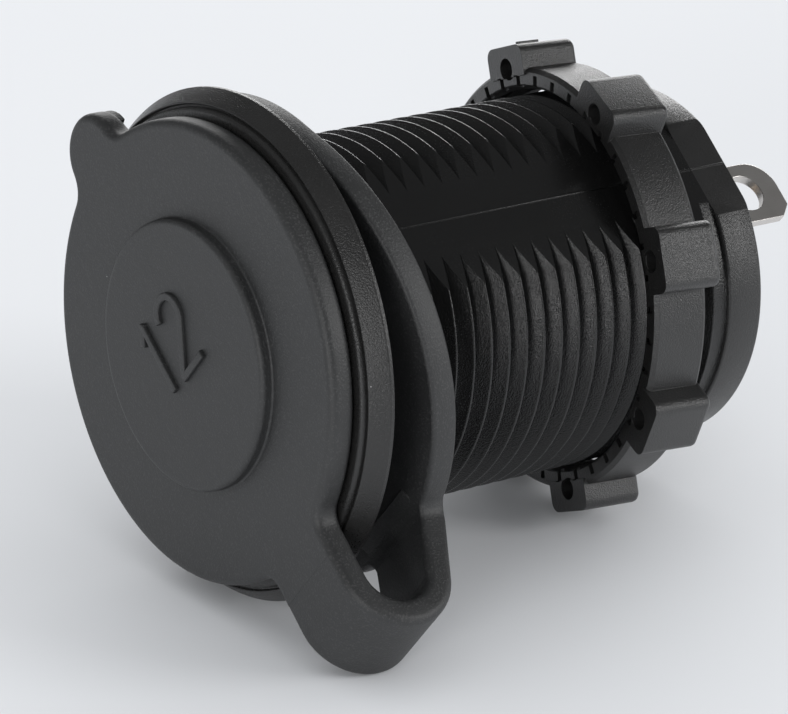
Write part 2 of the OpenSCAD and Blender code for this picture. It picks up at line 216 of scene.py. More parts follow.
def make_camera():
    """The camera at the photograph's place and angle."""
    data = bpy.data.cameras.new("camera")
    data.lens = CAMERA_LENS
    data.sensor_width = CAMERA_FRAME_W
    data.clip_start = 0.05
    data.clip_end = 20
    camera = bpy.data.objects.new("camera", data)
    camera.matrix_world = Matrix.Translation(CAMERA_AT * MM) @ CAMERA_AXES.to_4x4()
    bpy.context.scene.collection.objects.link(camera)
    bpy.context.scene.camera = camera


# Shaping helpers


def arc(centre, r, start, end, steps):
    """Points of an arc in a plane, from one angle to another in degrees."""
    return [
        (centre[0] + r * math.cos(a), centre[1] + r * math.sin(a))
        for a in (math.radians(start + (end - start) * k / steps) for k in range(steps + 1))
    ]


def angle_to(centre, point):
    """The direction from one point of a plane to another, in degrees."""
    return math.degrees(math.atan2(point[1] - centre[1], point[0] - centre[0]))


def clean(bm):
    """Closes a shape's seams and turns its faces outwards."""
    bmesh.ops.remove_doubles(bm, verts=bm.verts, dist=MERGE)
    bmesh.ops.dissolve_degenerate(bm, edges=bm.edges, dist=MERGE)
    bmesh.ops.recalc_face_normals(bm, faces=bm.faces)
    return bm


def turned(bm, profile, steps=ROUND_STEPS, closed=True):
    """Spins a profile of radius and place along Y about the Y axis."""
    verts = [bm.verts.new((r, y, 0)) for r, y in profile]
    edges = [bm.edges.new(pair) for pair in zip(verts, verts[1:])]
    if closed:
        edges.append(bm.edges.new((verts[-1], verts[0])))
    bmesh.ops.spin(bm, geom=verts + edges, angle=TURN, steps=steps, axis=(0, 1, 0),
                   cent=(0, 0, 0), use_merge=True)
    return clean(bm)


def plate(bm, outline, front, back, edge, segments, keep=lambda edge: True):
    """A flat plate of an outline in X and Z, with its front and back edges rounded.
    Keep says which edges of the outline are rounded, by their two corners."""
    face = bm.faces.new([bm.verts.new((x, front, z)) for x, z in outline])
    moved = bmesh.ops.extrude_face_region(bm, geom=[face])["geom"]
    bmesh.ops.translate(bm, verts=[g for g in moved if isinstance(g, bmesh.types.BMVert)],
                        vec=(0, back - front, 0))
    bmesh.ops.recalc_face_normals(bm, faces=bm.faces)
    rims = [e for e in bm.edges
            if abs(e.verts[0].co.y - e.verts[1].co.y) < 1e-6 and keep(e)]
    bevel(bm, rims, edge, segments)
    flats = [f for f in bm.faces if len(f.verts) > 8]
    bmesh.ops.inset_individual(bm, faces=flats, thickness=0.03)
    return bm


def bevel(bm, edges, width, segments):
    """Rounds some edges of a shape."""
    bmesh.ops.bevel(bm, geom=edges, offset=width, offset_type="OFFSET", segments=segments,
                    profile=0.5, affect="EDGES", clamp_overlap=True, material=-1)


def bar(bm, low, high):
    """A box between two corners."""
    made = bmesh.ops.create_cube(bm, size=1)["verts"]
    low, high = Vector(low), Vector(high)
    bmesh.ops.scale(bm, verts=made, vec=high - low)
    bmesh.ops.translate(bm, verts=made, vec=(low + high) / 2)
    return made


def rod(bm, r, start, end, steps):
    """A round bar along Y."""
    made = bmesh.ops.create_cone(bm, cap_ends=True, segments=steps, radius1=r, radius2=r,
                                 depth=end - start)["verts"]
    bmesh.ops.rotate(bm, verts=made, cent=(0, 0, 0), matrix=Matrix.Rotation(TURN / 4, 3, "X"))
    bmesh.ops.translate(bm, verts=made, vec=(0, (start + end) / 2, 0))
    return made


def swing(bm, verts, angle):
    """Turns some points about the plug axis."""
    bmesh.ops.rotate(bm, verts=verts, cent=(0, 0, 0), matrix=Matrix.Rotation(angle, 3, "Y"))


def loose_object(bm, name):
    """A plain object of a shape, used up by carve or finished by piece."""
    mesh = bpy.data.meshes.new(name)
    bm.to_mesh(mesh)
    bm.free()
    made = bpy.data.objects.new(name, mesh)
    bpy.context.scene.collection.objects.link(made)
    return made


def carve(base, steps):
    """Joins or cuts a shape with other closed shapes and returns the result as one shape."""
    body = loose_object(base, "carve_body")
    tools = []
    for operation, shape in steps:
        tool = loose_object(shape, "carve_tool")
        cut = body.modifiers.new("carve", "BOOLEAN")
        cut.operation = operation
        cut.solver = "EXACT"
        cut.use_self = operation == "UNION"
        cut.object = tool
        tools.append(tool)
    bpy.context.view_layer.update()
    result = bmesh.new()
    result.from_mesh(body.evaluated_get(bpy.context.evaluated_depsgraph_get()).data)
    for used in [body, *tools]:
        mesh = used.data
        bpy.data.objects.remove(used)
        bpy.data.meshes.remove(mesh)
    return clean(result)


def piece(bm, name, body, finish, nodes=(), sharp=35):
    """Turns a shape in millimetres into a finished piece, which rides on a body if one is
    given.
    """
    bmesh.ops.scale(bm, verts=bm.verts, vec=(MM, MM, MM))
    made = loose_object(bm, name)
    made.data.materials.append(finish)
    made.data.shade_smooth()
    made.data.set_sharp_from_angle(angle=math.radians(sharp))
    if body:
        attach(made, body)
    if nodes:
        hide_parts(*nodes)
    return made


# Materials


class Link:
    """One output of a node, so that values are worked out as sums in Python."""

    def __init__(self, finish, socket):
        self.finish = finish
        self.socket = socket

    def math(self, operation, *others):
        """The result of a sum that starts with this value."""
        return self.finish.node("ShaderNodeMath", {"operation": operation},
                                dict(enumerate([self, *others])))

    def flipped(self, operation, other):
        """The result of a sum that ends with this value."""
        return self.finish.node("ShaderNodeMath", {"operation": operation},
                                {0: other, 1: self})

    def __add__(self, other):
        return self.math("ADD", other)

    def __radd__(self, other):
        return self.flipped("ADD", other)

    def __sub__(self, other):
        return self.math("SUBTRACT", other)

    def __rsub__(self, other):
        return self.flipped("SUBTRACT", other)

    def __mul__(self, other):
        return self.math("MULTIPLY", other)

    def __rmul__(self, other):
        return self.flipped("MULTIPLY", other)

    def __abs__(self):
        return self.math("ABSOLUTE")

    def above(self, limit):
        return self.math("GREATER_THAN", limit)

    def below(self, limit):
        return self.math("LESS_THAN", limit)


class Finish:
    """A material, or the world, that is built node by node."""

    def __init__(self, owner):
        self.owner = owner
        self.owner.use_nodes = True
        self.tree = owner.node_tree
        self.tree.nodes.clear()

    def node(self, kind, settings=None, values=None, output=0):
        """A node with its settings, then the values or links of its sockets."""
        made = self.tree.nodes.new(kind)
        for key, value in (settings or {}).items():
            setattr(made, key, value)
        for key, value in (values or {}).items():
            if isinstance(value, Link):
                self.tree.links.new(value.socket, made.inputs[key])
            else:
                made.inputs[key].default_value = value
        return Link(self, made.outputs[output])

    def place(self):
        """The place on the object, in metres."""
        return self.node("ShaderNodeTexCoord", output="Object")

    def axis(self, place, name):
        """How far a place is along one axis."""
        return self.node("ShaderNodeSeparateXYZ", values={"Vector": place}, output=name)

    def stretch(self, place, scale):
        """A place scaled along each axis, which stretches a pattern."""
        return self.node("ShaderNodeMapping", {"vector_type": "POINT"},
                         {"Vector": place, "Scale": scale})

    def noise(self, place, size, detail=2.0, rough=0.5):
        """Soft noise with features of a size in millimetres, from 0 to 1."""
        return self.node("ShaderNodeTexNoise", {"noise_dimensions": "3D"},
                         {"Vector": place, "Scale": 1 / (size * MM), "Detail": detail,
                          "Roughness": rough})

    def spots(self, place, spacing, size):
        """Sparse round spots, 1 inside and 0 outside."""
        cells = {"Vector": place, "Scale": 1 / (spacing * MM)}
        far = self.node("ShaderNodeTexVoronoi", {"feature": "F1"}, cells, "Distance")
        tint = self.node("ShaderNodeTexVoronoi", {"feature": "F1"}, cells, "Color")
        chance = self.node("ShaderNodeSeparateColor", values={"Color": tint}, output="Red")
        return far.below(size / spacing * (chance - 0.45))

    def blend(self, factor, first, second):
        """Mixes two colours."""
        return self.node("ShaderNodeMix", {"data_type": "RGBA"},
                         {"Factor": factor, 6: first, 7: second}, output=2)

    def bump(self, height, depth):
        """Surface relief, with depth in millimetres at a height of 1."""
        return self.node("ShaderNodeBump", values={"Height": height, "Distance": depth * MM,
                                                   "Strength": 1.0}, output="Normal")

    def done(self, changing, **constant):
        """Ends in a Principled shader, with its fixed values set on its own sockets."""
        values = {name.replace("_", " ").title().replace("Ior", "IOR"): value
                  for name, value in constant.items()}
        shader = self.node("ShaderNodeBsdfPrincipled", values={**values, **changing})
        self.ends_in(shader)
        return self.owner

    def ends_in(self, shader, kind="ShaderNodeOutputMaterial"):
        """Links the last shader to the output node."""
        end = self.tree.nodes.new(kind)
        self.tree.links.new(shader.socket, end.inputs["Surface"])


def grey(value, warm=0.0):
    """A linear grey, a little warmer or cooler."""
    return (value * (1 + warm), value, value * (1 - warm), 1)


def rubber_finish():
    """Soft matte black rubber with faint clouds, pits and a little pale dust."""
    finish = Finish(bpy.data.materials.new("soft_black_rubber"))
    place = finish.place()
    clouds = finish.noise(place, 7.0, 3.0)
    fine = finish.noise(place, 0.16, 2.0)
    coarse = finish.noise(place, 0.7, 2.0)
    dust = finish.spots(place, 2.4, 0.17) * finish.noise(place, 4.0).above(0.5)
    tone = finish.blend(clouds, grey(0.009, -0.03), grey(0.028, -0.03))
    tone = finish.blend(fine.above(0.6) * 0.35, tone, grey(0.07))
    return finish.done(
        {"Base Color": finish.blend(dust * 0.75, tone, grey(0.5)),
         "Roughness": 0.4 + 0.16 * clouds + 0.14 * fine,
         "Normal": finish.bump(fine + coarse * 0.8, 0.03)},
        specular_ior_level=0.75)


def nylon_finish(name, tone, grain, rough, shine, threaded=False):
    """Moulded black nylon with a fine spark grain. If threaded, it is smoother along the thread
    and smoothest on the flats, and its colour is darker along the thread as painted shade."""
    finish = Finish(bpy.data.materials.new(name))
    place = finish.place()
    clouds = finish.noise(place, 5.0, 2.0)
    sand = finish.noise(place, 0.12, 2.0, 0.6)
    height = sand + finish.noise(place, 1.1, 2.0) * 0.3
    dust = finish.spots(place, 2.0, 0.13) * finish.noise(place, 3.0).above(0.48)
    base = finish.blend(clouds, grey(tone * 0.75, 0.02), grey(tone * 1.25, 0.02))
    base = finish.blend(sand.above(0.62) * 0.25, base, grey(tone * 3))
    roughness = rough + 0.16 * (sand - 0.5) + 0.1 * (clouds - 0.5)
    if threaded:
        along = finish.axis(place, "Y")
        on_flat = abs(finish.axis(place, "X")).above((FLAT_X - 0.03) * MM)
        height = height * (1 - on_flat * along.above(0) * 0.85)
        on_thread = along.above(0) * along.below(COLLAR_START * MM)
        # Painted shade: the same nylon is coloured darker along the thread.
        base = finish.blend(on_thread * 0.8, base, grey(0.002))
        roughness = roughness - on_thread * 0.06
    return finish.done(
        {"Base Color": finish.blend(dust * 0.7, base, grey(0.45)),
         "Roughness": roughness,
         "Normal": finish.bump(height, grain)},
        specular_ior_level=shine)


def plated_finish(name, tone, warm, rough, draw):
    """Plated sheet with fine draw lines along Y and faint tarnish."""
    finish = Finish(bpy.data.materials.new(name))
    place = finish.place()
    lines = finish.noise(finish.stretch(place, (1, draw, 1)), 0.12, 3.0)
    cloud = finish.noise(place, 2.5, 3.0)
    base = finish.blend(cloud, grey(tone * 0.9, warm), grey(tone, warm * 0.6))
    base = finish.blend(lines * 0.3, base, grey(tone * 0.7, warm))
    return finish.done(
        {"Base Color": base, "Metallic": 1.0,
         "Roughness": rough + 0.12 * (lines - 0.5) + 0.1 * (cloud - 0.5),
         "Normal": finish.bump(lines + cloud * 0.5, 0.006)})


def bush_finish():
    """Pale plain nylon with soft mottling."""
    finish = Finish(bpy.data.materials.new("pale_nylon"))
    place = finish.place()
    cloud = finish.noise(place, 1.5, 3.0)
    fine = finish.noise(place, 0.15)
    return finish.done(
        {"Base Color": finish.blend(cloud, (0.74, 0.71, 0.63, 1), (0.82, 0.8, 0.73, 1)),
         "Roughness": 0.42 + 0.15 * fine,
         "Normal": finish.bump(fine, 0.008)})


RUBBER = rubber_finish()
BODY_NYLON = nylon_finish("body_black_nylon", 0.015, 0.045, 0.3, 0.62, threaded=True)
NUT_NYLON = nylon_finish("nut_black_nylon", 0.01, 0.055, 0.33, 0.85)
TERMINAL_METAL = plated_finish("terminal_plating", 0.72, 0.05, 0.36, 0.3)
SLEEVE_METAL = plated_finish("sleeve_plating", 0.6, 0.02, 0.42, 0.06)
RIVET_BRASS = plated_finish("rivet_brass", 0.62, 0.32, 0.3, 0.5)
BUSH_NYLON = bush_finish()


# The strap's path in Y and Z, worked out as in the frame


STRAP_MID_R = BEND_R - STRAP_T / 2
BEND_C = (CAP_FRONT + BEND_R, HINGE_Z - BEND_LEAD)
BEND_END = (BEND_C[0] + STRAP_MID_R * math.cos(ARM_LEAN),
            BEND_C[1] - STRAP_MID_R * math.sin(ARM_LEAN))
ARM_LEN = ((RING_T / 2 + (FOLD_Z - BEND_END[1]) * math.tan(FOLD) - BEND_END[0])
           / (math.sin(ARM_LEAN) + math.cos(ARM_LEAN) * math.tan(FOLD)))
ARM_RUN = ARM_LEN - ARM_BEND_R * math.tan((ARM_LEAN + FOLD) / 2)
ARM_END = (BEND_END[0] + ARM_RUN * math.sin(ARM_LEAN),
           BEND_END[1] + ARM_RUN * math.cos(ARM_LEAN))
ARM_BEND_C = (ARM_END[0] - ARM_BEND_R * math.cos(ARM_LEAN),
              ARM_END[1] + ARM_BEND_R * math.sin(ARM_LEAN))
RING_JOINT_Z = ARM_BEND_C[1] + ARM_BEND_R * math.sin(FOLD)


def ring_middle(z):
    """Where the retaining ring's middle surface is along Y at a height."""
    flat_end = FOLD_Z + FOLD_R * math.tan(FOLD / 2)
    lean_start = flat_end - FOLD_R * math.sin(FOLD)
    if z >= flat_end:
        return RING_T / 2
    if z >= lean_start:
        return RING_T / 2 + FOLD_R - math.sqrt(FOLD_R ** 2 - (flat_end - z) ** 2)
    if z >= RING_JOINT_Z:
        fold_step = FOLD_R * (1 - math.cos(FOLD))
        return RING_T / 2 + fold_step + (lean_start - z) * math.tan(FOLD)
    return ARM_BEND_C[0] + math.sqrt(ARM_BEND_R ** 2 - (z - ARM_BEND_C[1]) ** 2)


def root_arc(disc_r, half_w, fillet):
    """The fillet, right of the strap, from a disc's edge down to the strap's side."""
    c = (half_w + fillet, -math.sqrt((disc_r + fillet) ** 2 - (half_w + fillet) ** 2))
    on_disc = angle_to(c, (0, 0))
    return c, arc(c, fillet, on_disc, 180, 6)


def mirrored(points):
    """The same outline on the other side of the middle, in the order that closes it."""
    return [(-x, z) for x, z in reversed(points)]


# Rubber moulding


def cap_outline():
    """The disc with its pull tab above and the strap's stub below."""
    reach_disc, reach_tab = CAP_R + TAB_FILLET, TAB_R + TAB_FILLET
    z = (reach_disc ** 2 - reach_tab ** 2 + TAB_Z ** 2) / (2 * TAB_Z)
    tab_c = (math.sqrt(reach_disc ** 2 - z ** 2), z)
    tab_top = (0, TAB_Z)
    tab_side = angle_to(tab_top, tab_c)
    strap_c, strap_root = root_arc(CAP_R, STRAP_W / 2, STRAP_FILLET)
    half = ([(STRAP_W / 2, STUB_END)] + list(reversed(strap_root))
            + arc((0, 0), CAP_R, angle_to((0, 0), strap_c), angle_to((0, 0), tab_c), 72)[1:-1]
            + arc(tab_c, TAB_FILLET, angle_to(tab_c, (0, 0)) + 360,
                  angle_to(tab_c, tab_top) + 360, 8)
            + arc(tab_top, TAB_R, tab_side, 90, 14)[1:])
    return half + mirrored(half)[1:]


def stroke(bm, points, width, height):
    """A raised stroke of a digit, of even width along a row of points."""
    sides = []
    for k, point in enumerate(points):
        before = Vector(point) - Vector(points[max(k - 1, 0)])
        after = Vector(points[min(k + 1, len(points) - 1)]) - Vector(point)
        along = (before.normalized() + after.normalized()).normalized()
        bend = along.dot((after if k == 0 else before).normalized())
        across = Vector((-along.y, along.x)) * width / 2 / max(bend, 0.5)
        sides.append((Vector(point) + across, Vector(point) - across))
    outline = [a for a, b in sides] + [b for a, b in reversed(sides)]
    raised = bmesh.new()
    plate(raised, outline, BOSS_FRONT - height, BOSS_FRONT + DIGIT_SUNK, width * 0.2, 3)
    joined(bm, raised)


def raised_number():
    """The plain number 12 on the boss. Strokes that cross differ in height by a step."""
    bm = bmesh.new()
    lower = DIGIT_H - DIGIT_STEP
    stroke(bm, [(-2.35, 4.3), (-2.35, -1.5)], DIGIT_W, DIGIT_H)
    stroke(bm, [(-3.4, 3.1), (-2.2, 4.35)], DIGIT_W - 0.05, lower)
    stroke(bm, arc((1.1, 2.85), 1.5, 170, -35, 16) + [(-0.55, -1.35)], DIGIT_W, DIGIT_H)
    stroke(bm, [(-0.75, -1.45), (2.7, -1.45)], DIGIT_W, lower)
    return bm


def boss_shape():
    """The raised boss, with a small fillet at its foot and a round edge."""
    foot_r = BOSS_R + BOSS_FOOT
    edge_r = BOSS_R - BOSS_EDGE
    return turned(bmesh.new(), [(0, CAP_FRONT + BOSS_SUNK), (foot_r, CAP_FRONT + BOSS_SUNK),
                                (foot_r, CAP_FRONT)]
                  + arc((foot_r, CAP_FRONT - BOSS_FOOT), BOSS_FOOT, 90, 180, 3)[1:]
                  + arc((edge_r, BOSS_FRONT + BOSS_EDGE), BOSS_EDGE, 0, -90, 6)
                  + [(edge_r - 0.1, BOSS_FRONT), (0, BOSS_FRONT)], closed=False)


def plug_shape():
    """The hollow plug behind the cap, as a wall with a round tip."""
    root, tip = CAP_BACK - PLUG_SUNK, PLUG_END - 0.5
    return turned(bmesh.new(), [(PLUG_ROOT_R, root), (PLUG_TIP_R, tip)]
                  + arc((PLUG_TIP_R - PLUG_WALL / 2, tip), PLUG_WALL / 2, 20, 160, 6)
                  + [(PLUG_TIP_R - PLUG_WALL, tip), (PLUG_ROOT_R - PLUG_WALL, root)])


def cap_shape():
    """The cap's disc with its tab and stub, and all that stands on it."""
    bm = bmesh.new()
    plate(bm, cap_outline(), CAP_FRONT, CAP_BACK, CAP_EDGE, 6,
          lambda e: not all(v.co.z < STUB_END + 1e-3 for v in e.verts))
    return joined(bm, boss_shape(), plug_shape(), raised_number(), tab_flash())


def tab_flash():
    """The ragged lip of flash along the back edge of the pull tab."""
    bm = bmesh.new()
    loops = []
    for k in range(FLASH_STEPS + 1):
        a = math.radians(FLASH_START + FLASH_SPAN * k / FLASH_STEPS)
        rag = noise.noise(Vector((k * 0.55, 3.1, 0)))
        lift = FLASH_LIFT * math.sin(math.pi * k / FLASH_STEPS) ** 0.5 * (1 + 0.7 * rag)
        out = Vector((math.cos(a), 0, math.sin(a)))
        section = [bm.verts.new(out * (TAB_R - 0.04 - inward) + Vector((0, y, TAB_Z)))
                   for inward, y in ((0.5, CAP_BACK - 0.2), (0.03, CAP_BACK - 0.35),
                                     (0.0, CAP_BACK + lift * 0.5),
                                     (0.1 + 0.08 * rag, CAP_BACK + lift),
                                     (0.28, CAP_BACK + lift * 0.7))]
        loops += [bm.edges.new(pair) for pair in zip(section, section[1:] + section[:1])]
    bmesh.ops.bridge_loops(bm, edges=loops)
    bmesh.ops.holes_fill(bm, edges=bm.edges, sides=0)
    return clean(bm)


def joined(first, *others):
    """Puts several shapes into the first one."""
    for other in others:
        mesh = bpy.data.meshes.new("joining")
        other.to_mesh(mesh)
        other.free()
        first.from_mesh(mesh)
        bpy.data.meshes.remove(mesh)
    return first


def strap_shape():
    """The strap from inside the cap's stub, round the bend and into the ring."""
    bm = bmesh.new()
    half_w, half_t = STRAP_W / 2 - STRAP_INSET, STRAP_T / 2 - STRAP_INSET
    middle_y = CAP_FRONT + STRAP_T / 2
    ring = []
    for sx, sy, start in ((1, 1, 0), (-1, 1, 90), (-1, -1, 180), (1, -1, 270)):
        corner = (sx * (half_w - CAP_EDGE), sy * (half_t - CAP_EDGE))
        ring += arc(corner, CAP_EDGE, start, start + 90, 6)
    verts = [bm.verts.new((x, middle_y + y, STUB_END + STUB_OVERLAP)) for x, y in ring]
    edges = [bm.edges.new(pair) for pair in zip(verts, verts[1:] + verts[:1])]

    def run(geom, vector, steps):
        for _ in range(steps):
            geom = bmesh.ops.extrude_edge_only(
                bm, edges=[g for g in geom if isinstance(g, bmesh.types.BMEdge)])["geom"]
            bmesh.ops.translate(bm, vec=Vector(vector) / steps,
                                verts=[g for g in geom if isinstance(g, bmesh.types.BMVert)])
            geom = [g for g in geom if not isinstance(g, bmesh.types.BMFace)]
        return geom

    def turn(geom, centre, angle, steps):
        return bmesh.ops.spin(bm, geom=geom, cent=(0, *centre), axis=(1, 0, 0),
                              angle=angle, steps=steps)["geom_last"]

    tip = run(verts + edges, (0, 0, BEND_C[1] - STUB_END - STUB_OVERLAP), 10)
    tip = turn(tip, BEND_C, math.pi - ARM_LEAN, 44)
    tip = run(tip, (0, ARM_RUN * math.sin(ARM_LEAN), ARM_RUN * math.cos(ARM_LEAN)), 8)
    tip = turn(tip, ARM_BEND_C, ARM_LEAN + FOLD, 10)
    run(tip, (0, -ARM_TAIL * math.sin(FOLD), ARM_TAIL * math.cos(FOLD)), 3)
    bmesh.ops.holes_fill(bm, edges=bm.edges, sides=0)
    clean(bm)
    sharpen_arm(bm, half_w, half_t)
    return bm


def split_strap():
    """The strap up to the middle of its rear arm, with its bend, and the rest, which stays."""
    lean = Vector((0, math.sin(ARM_LEAN), math.cos(ARM_LEAN)))
    cut = Vector((0, *BEND_END)) + lean * ARM_RUN * ARM_SPLIT
    halves = []
    for upper in (False, True):
        bm = strap_shape()
        bmesh.ops.bisect_plane(bm, geom=bm.verts[:] + bm.edges[:] + bm.faces[:], dist=1e-5,
                               plane_co=cut, plane_no=lean, clear_inner=upper,
                               clear_outer=not upper)
        bmesh.ops.holes_fill(bm, edges=bm.edges, sides=0)
        bmesh.ops.recalc_face_normals(bm, faces=bm.faces)
        halves.append(bm)
    return halves


def sharpen_arm(bm, half_w, half_t):
    """Lets the strap's round edges grow as sharp as the ring's along its rear arm."""
    lean = Vector((0, math.sin(ARM_LEAN), math.cos(ARM_LEAN)))
    out = Vector((0, math.cos(ARM_LEAN), -math.sin(ARM_LEAN)))
    start, bend = Vector((0, *BEND_END)), Vector((0, *ARM_BEND_C))
    for v in bm.verts:
        along = (v.co - start).dot(lean)
        if along < 0 or v.co.y < CAP_FRONT + BEND_R:
            continue
        side, depth = out, (v.co - start).dot(out)
        if along > ARM_RUN:
            side = Vector((0, v.co.y - bend.y, v.co.z - bend.z))
            depth = side.length - ARM_BEND_R
            side.normalize()
        change = (CAP_EDGE - RING_EDGE) * min(along / ARM_RUN, 1)
        over_x = (abs(v.co.x) - half_w) / CAP_EDGE + 1
        over_y = (abs(depth) - half_t) / CAP_EDGE + 1
        if over_x > 0 and over_y > 0:
            v.co.x += math.copysign(change * (1 - over_x), v.co.x)
            v.co += side * math.copysign(change * (1 - over_y), depth)


def ring_shape():
    """The flat ring with the strap's root, folded back at its lower part."""
    bm = bmesh.new()
    strap_c, root = root_arc(RING_R, STRAP_W / 2, RING_FILLET)
    stub_end = root[-1][1] - 0.05
    half = ([(STRAP_W / 2, stub_end)] + list(reversed(root))
            + arc((0, 0), RING_R, angle_to((0, 0), strap_c), 90, 90)[1:])
    plate(bm, half + mirrored(half)[1:], 0, RING_T, RING_EDGE, 3,
          lambda e: not all(v.co.z < stub_end + 1e-3 for v in e.verts))
    hole = bmesh.new()
    wide = RING_HOLE_R + RING_CHAMFER
    turned(hole, [(0, -1), (wide, -1), (wide, 0), (RING_HOLE_R, RING_CHAMFER),
                  (RING_HOLE_R, RING_T - RING_CHAMFER), (wide, RING_T), (wide, RING_T + 1),
                  (0, RING_T + 1)], closed=False)
    bm = carve(bm, [("DIFFERENCE", hole)])
    rows = round(RING_R / RING_ROW)
    for k in range(1 - rows, 1 + rows):
        bmesh.ops.bisect_plane(bm, geom=bm.verts[:] + bm.edges[:] + bm.faces[:], dist=1e-5,
                               plane_co=(0, 0, k * RING_ROW), plane_no=(0, 0, 1))
    for v in bm.verts:
        v.co.y += ring_middle(v.co.z) - RING_T / 2
    return bm


# Body moulding


def thread_shape():
    """The helical ridge, with its flats cut and its ends closed."""
    bm = bmesh.new()
    half = THREAD_PITCH / 2
    slope = half / THREAD_DEPTH
    crest = [(THREAD_R - below, beside) for below, beside in CREST]
    side = [(ROOT_R - THREAD_SUNK, half + THREAD_SUNK * slope)] + crest
    profile = [(r, -y) for r, y in side] + [(r, y) for r, y in reversed(side)]
    start = THREAD_START + half
    verts = [bm.verts.new((r, start + y, 0)) for r, y in profile]
    edges = [bm.edges.new(pair) for pair in zip(verts, verts[1:] + verts[:1])]
    bmesh.ops.spin(bm, geom=verts + edges, cent=(0, 0, 0), axis=(0, 1, 0),
                   dvec=(0, THREAD_PITCH / TURN_STEPS, 0), angle=-TURN, steps=TURN_STEPS)
    first_turn = bm.verts[:] + bm.edges[:] + bm.faces[:]
    for k in range(1, THREAD_TURNS):
        copied = bmesh.ops.duplicate(bm, geom=first_turn)["geom"]
        bmesh.ops.translate(bm, verts=[g for g in copied if isinstance(g, bmesh.types.BMVert)],
                            vec=(0, THREAD_PITCH * k, 0))
    clean(bm)
    bmesh.ops.holes_fill(bm, edges=bm.edges, sides=0)
    bmesh.ops.recalc_face_normals(bm, faces=bm.faces)
    return flattened(bm, FLAT_X - 0.01)


def flattened(bm, x):
    """Cuts the two flats and closes the cuts."""
    for side in (1, -1):
        bmesh.ops.bisect_plane(bm, geom=bm.verts[:] + bm.edges[:] + bm.faces[:], dist=1e-5,
                               plane_co=(side * x, 0, 0), plane_no=(side, 0, 0),
                               clear_outer=True)
        bmesh.ops.holes_fill(bm, edges=bm.edges, sides=0)
    return bm


def flange_shape():
    """The flange with its bead, the groove beside it and its tapered band."""
    front, lip_seat = FLANGE_FRONT, FLANGE_FRONT + LIP_DEPTH
    return turned(bmesh.new(), [(SEAT_R, 0), (SEAT_R, lip_seat), (LIP_R, lip_seat),
                                (LIP_R, front), (17.2, front)]
                  + arc((BEAD_R - BEAD_ROUND, front + BEAD_ROUND), BEAD_ROUND, -90, 0, 6)
                  + [(BEAD_R + 0.03, front + 0.52), (GROOVE_R, front + GROOVE_DEPTH)]
                  + arc((GROOVE_R + 0.15, front + 0.45), 0.12, -100, -40, 3)
                  + [(FLANGE_R - 0.07, -0.42)] + arc((FLANGE_R - 0.15, -0.3), 0.15, -20, 0, 3)
                  + [(FLANGE_R, -0.08), (FLANGE_R - 0.08, 0), (15.5, 0)], 224)


def barrel_shape():
    """The root cylinder, rear collar and closed rear end, hollow for the sleeve."""
    bm = bmesh.new()
    turned(bm, [(SEAT_R + 0.1, -0.5), (SEAT_R, 0), (SEAT_R, SEAT_END), (BORE_R, SEAT_END),
                (BORE_R, SLEEVE_FLOOR), (BUSH_R, SLEEVE_FLOOR), (BUSH_R, BUSH_SHOULDER),
                (RIVET_HOLE_R, BUSH_SHOULDER), (RIVET_HOLE_R, BODY_END), (9, BODY_END)]
           + arc((COLLAR_R - 0.3, BODY_END - 0.3), 0.3, 90, 0, 4)
           + arc((COLLAR_R - 0.25, COLLAR_START + 0.25), 0.25, 0, -90, 4)
           + [(ROOT_R + 0.1, COLLAR_START), (ROOT_R, COLLAR_START - 0.1), (ROOT_R, -0.5)])
    flattened(bm, FLAT_X)
    half_t, half_w = TERMINAL_T / 2 + TERMINAL_GAP, TERMINAL_HALF_W + TERMINAL_GAP
    past_end = BODY_END + 0.5
    pocket = bmesh.new()
    bar(pocket, (-TERMINAL_X - half_t, POCKET_FLOOR, -half_w),
        (FOOT_END + TERMINAL_GAP, past_end, half_w))
    slot = bmesh.new()
    bar(slot, (TERMINAL_X - half_t, SLEEVE_FLOOR - 0.5, -half_w),
        (TERMINAL_X + half_t, past_end, half_w))
    return carve(bm, [("DIFFERENCE", pocket), ("DIFFERENCE", slot)])


def parting_lines():
    """The thin raised line that the mould leaves along the middle of each flat."""
    bm = bmesh.new()
    for side in (1, -1):
        made = bar(bm, (side * FLAT_X - PARTING_H, 0.3, -PARTING_W / 2),
                   (side * FLAT_X + PARTING_H, BODY_END - 0.1, PARTING_W / 2))
        rims = {e for v in made for e in v.link_edges if abs(v.co.x) > FLAT_X}
        bevel(bm, list(rims), 0.06, 2)
    return bm


# Ring nut


def grip_lug(bm, angle):
    """One grip lug, in the nut's own frame."""
    made = bar(bm, (-LUG_W / 2, -LUG_EXTRA / 2, LUG_R - LUG_DEPTH),
               (LUG_W / 2, NUT_LEN + LUG_EXTRA / 2, LUG_R))
    edges = {e for v in made for e in v.link_edges}
    long_ones = [e for e in edges if abs(e.verts[0].co.y - e.verts[1].co.y) > 1
                 and e.verts[0].co.z > LUG_R - 0.1]
    before = set(bm.verts) - set(made)
    bevel(bm, long_ones, LUG_ROUND, 5)
    rear = NUT_LEN + LUG_EXTRA / 2 - 1e-3
    rear_ones = [e for e in bm.edges if all(v.co.y > rear and v not in before for v in e.verts)
                 and max(v.co.z for v in e.verts) > LUG_R - LUG_DEPTH + 0.1]
    bevel(bm, rear_ones, LUG_REAR_ROUND, 3)
    swing(bm, [v for v in bm.verts if v not in before], angle)


def gate_flake(bm):
    """The thin flake that the gate leaves on the first lug."""
    made = bar(bm, (-0.5, 1.3, LUG_R - FLAKE_H), (-0.2, 3.2, LUG_R + FLAKE_H))
    swing(bm, made, LUG_START)


def lug_hole(bm, angle):
    """What cuts the small hole through a lug's foot."""
    made = rod(bm, LUG_HOLE_R, -2, NUT_LEN + 2, 24)
    bmesh.ops.translate(bm, verts=made, vec=(0, 0, NUT_R))
    swing(bm, made, angle)


